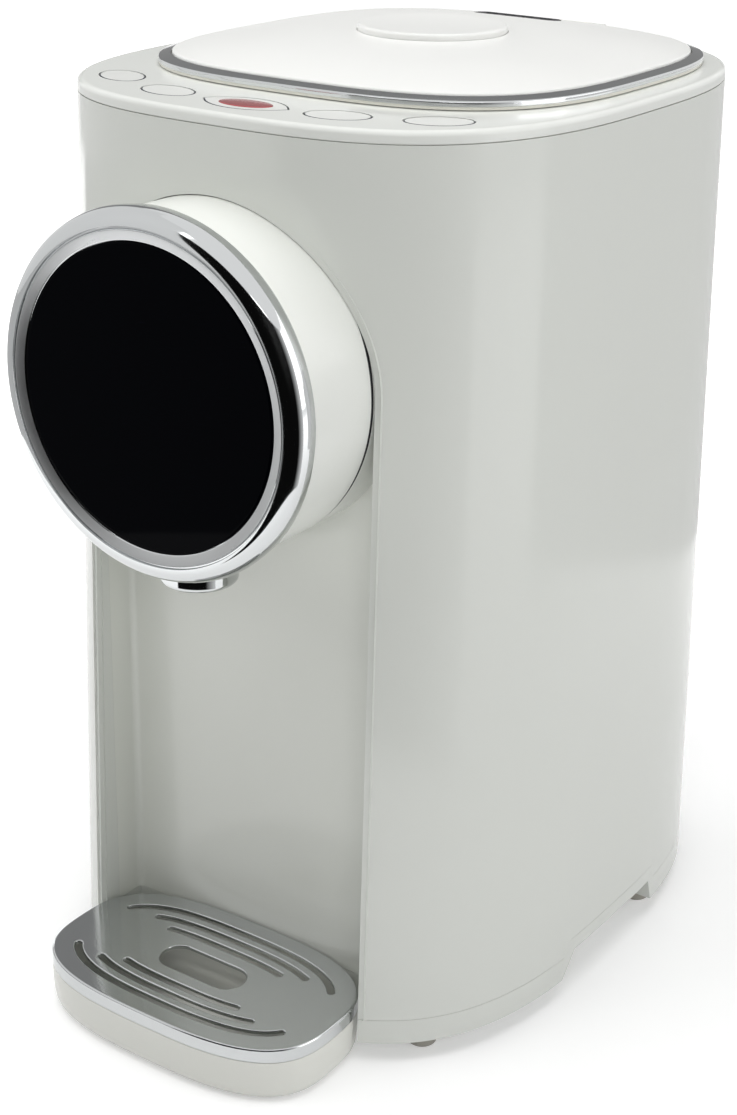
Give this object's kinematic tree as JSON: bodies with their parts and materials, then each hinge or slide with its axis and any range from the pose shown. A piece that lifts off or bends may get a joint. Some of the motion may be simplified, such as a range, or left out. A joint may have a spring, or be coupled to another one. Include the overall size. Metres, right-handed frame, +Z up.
{
  "type": "electric thermo pot",
  "caption": "Tall electric thermo pot with a drafted casing, hinged domed lid, top keys, round display head with nozzle, and a slotted drip tray in a front niche.",
  "frame": {"origin": "on the surface it stands on, under the middle of the footprint box of the whole object, drip tray included", "axes": "+Z up; the dispensing head and the drip tray face -Y; +X is on the right of a person who faces the head"},
  "size_m": [0.2196, 0.3034, 0.3727],
  "materials": {
    "white_shell": "gloss, warm white",
    "white_trim": "satin, warm white",
    "chrome_trim": "polished",
    "satin_trim": "satin",
    "display_black": "gloss black, opaque",
    "pot_steel": "brushed",
    "screw_steel": "plain",
    "plate_aluminium": "cast",
    "dark_plastic": "matt",
    "grey_plastic": "matt",
    "natural_plastic": "matt",
    "silicone": "soft, milky",
    "dark_rubber": "soft",
    "foot_rubber": "soft, grey beige",
    "board_green": "satin",
    "key_red": "satin, muted red"
  },
  "bodies": {
    "pot_body": {"outer_casing": "white_shell", "niche_liner": "white_trim", "base_cover": "white_trim", "feet": "foot_rubber", "base_screws": "screw_steel", "power_inlet": "dark_plastic", "inlet_pins": "screw_steel", "main_board": "board_green", "pot_stand": "natural_plastic", "inner_pot": "pot_steel", "insulation_jacket": "silicone", "pot_gasket": "dark_rubber", "heater_plate": "plate_aluminium", "heating_element": "screw_steel", "thermostat": "dark_plastic", "temperature_sensor": "screw_steel", "pump_housing": "natural_plastic", "pump_backplate": "dark_plastic", "pump_motor": "grey_plastic", "suction_hose": "silicone", "riser_hose": "silicone", "spout_tube": "natural_plastic", "nozzle": "chrome_trim", "head_neck": "white_trim", "neck_screws": "screw_steel", "head_shell": "white_shell", "face_carrier": "natural_plastic", "bezel_ring": "chrome_trim", "display_glass": "display_black", "display_board": "board_green", "top_collar": "white_shell", "key_board": "board_green", "key_mat": "silicone", "hinge_pin": "screw_steel"},
    "lid": {"lid_liner": "white_trim", "lid_gasket": "dark_rubber", "lid_trim": "chrome_trim", "lid_cover": "white_shell", "lid_screws": "screw_steel", "steam_vent": "grey_plastic", "knob_spring": "screw_steel"},
    "knob": {"lid_knob": "white_shell"},
    "latch": {"lid_latch": "natural_plastic"},
    "lock_key": {"lock_key": "white_shell"},
    "warm_key": {"warm_key": "white_shell"},
    "pour_key": {"pour_key": "white_shell", "pour_inlay": "key_red"},
    "boil_key": {"boil_key": "white_shell"},
    "timer_key": {"timer_key": "white_shell"},
    "tray": {"drip_tray": "white_trim"},
    "grille": {"drip_grille": "satin_trim"},
    "impeller": {"pump_impeller": "natural_plastic", "motor_shaft": "screw_steel"}
  },
  "joints": [
    {"name": "lid_hinge", "type": "hinge", "parent": "pot_body", "child": "lid", "pos_m": [0, 0.13587, 0.3604], "axis": [-1, 0, 0], "range_deg": [0, 85]},
    {"name": "knob_press", "type": "slide", "parent": "lid", "child": "knob", "axis": [0, 0, -1], "range_m": [0, 0.003], "stiffness_N_per_m": 600, "springref_m": -0.004, "deforming": ["knob_spring"]},
    {"name": "latch_slide", "type": "slide", "parent": "lid", "child": "latch", "axis": [0, 1, 0], "range_m": [0, 0.003]},
    {"name": "lock_key_press", "type": "slide", "parent": "pot_body", "child": "lock_key", "axis": [0, 0, -1], "range_m": [0, 0.0008], "stiffness_N_per_m": 800, "springref_m": -0.0008},
    {"name": "warm_key_press", "type": "slide", "parent": "pot_body", "child": "warm_key", "axis": [0, 0, -1], "range_m": [0, 0.0008], "stiffness_N_per_m": 800, "springref_m": -0.0008},
    {"name": "pour_key_press", "type": "slide", "parent": "pot_body", "child": "pour_key", "axis": [0, 0, -1], "range_m": [0, 0.0008], "stiffness_N_per_m": 800, "springref_m": -0.0008},
    {"name": "boil_key_press", "type": "slide", "parent": "pot_body", "child": "boil_key", "axis": [0, 0, -1], "range_m": [0, 0.0008], "stiffness_N_per_m": 800, "springref_m": -0.0008},
    {"name": "timer_key_press", "type": "slide", "parent": "pot_body", "child": "timer_key", "axis": [0, 0, -1], "range_m": [0, 0.0008], "stiffness_N_per_m": 800, "springref_m": -0.0008},
    {"name": "tray_slide", "type": "slide", "parent": "pot_body", "child": "tray", "axis": [0, -1, 0], "range_m": [0, 0.08]},
    {"name": "grille_lift", "type": "slide", "parent": "tray", "child": "grille", "axis": [0, 0, 1], "range_m": [0, 0.03]},
    {"name": "pump_spin", "type": "hinge", "parent": "pot_body", "child": "impeller", "pos_m": [0, -0.01753, 0.06], "axis": [0, 0, 1], "continuous": true}
  ],
  "couplings": [
    {"joint": "latch_slide", "follows": "knob_press", "ratio": 1}
  ]
}
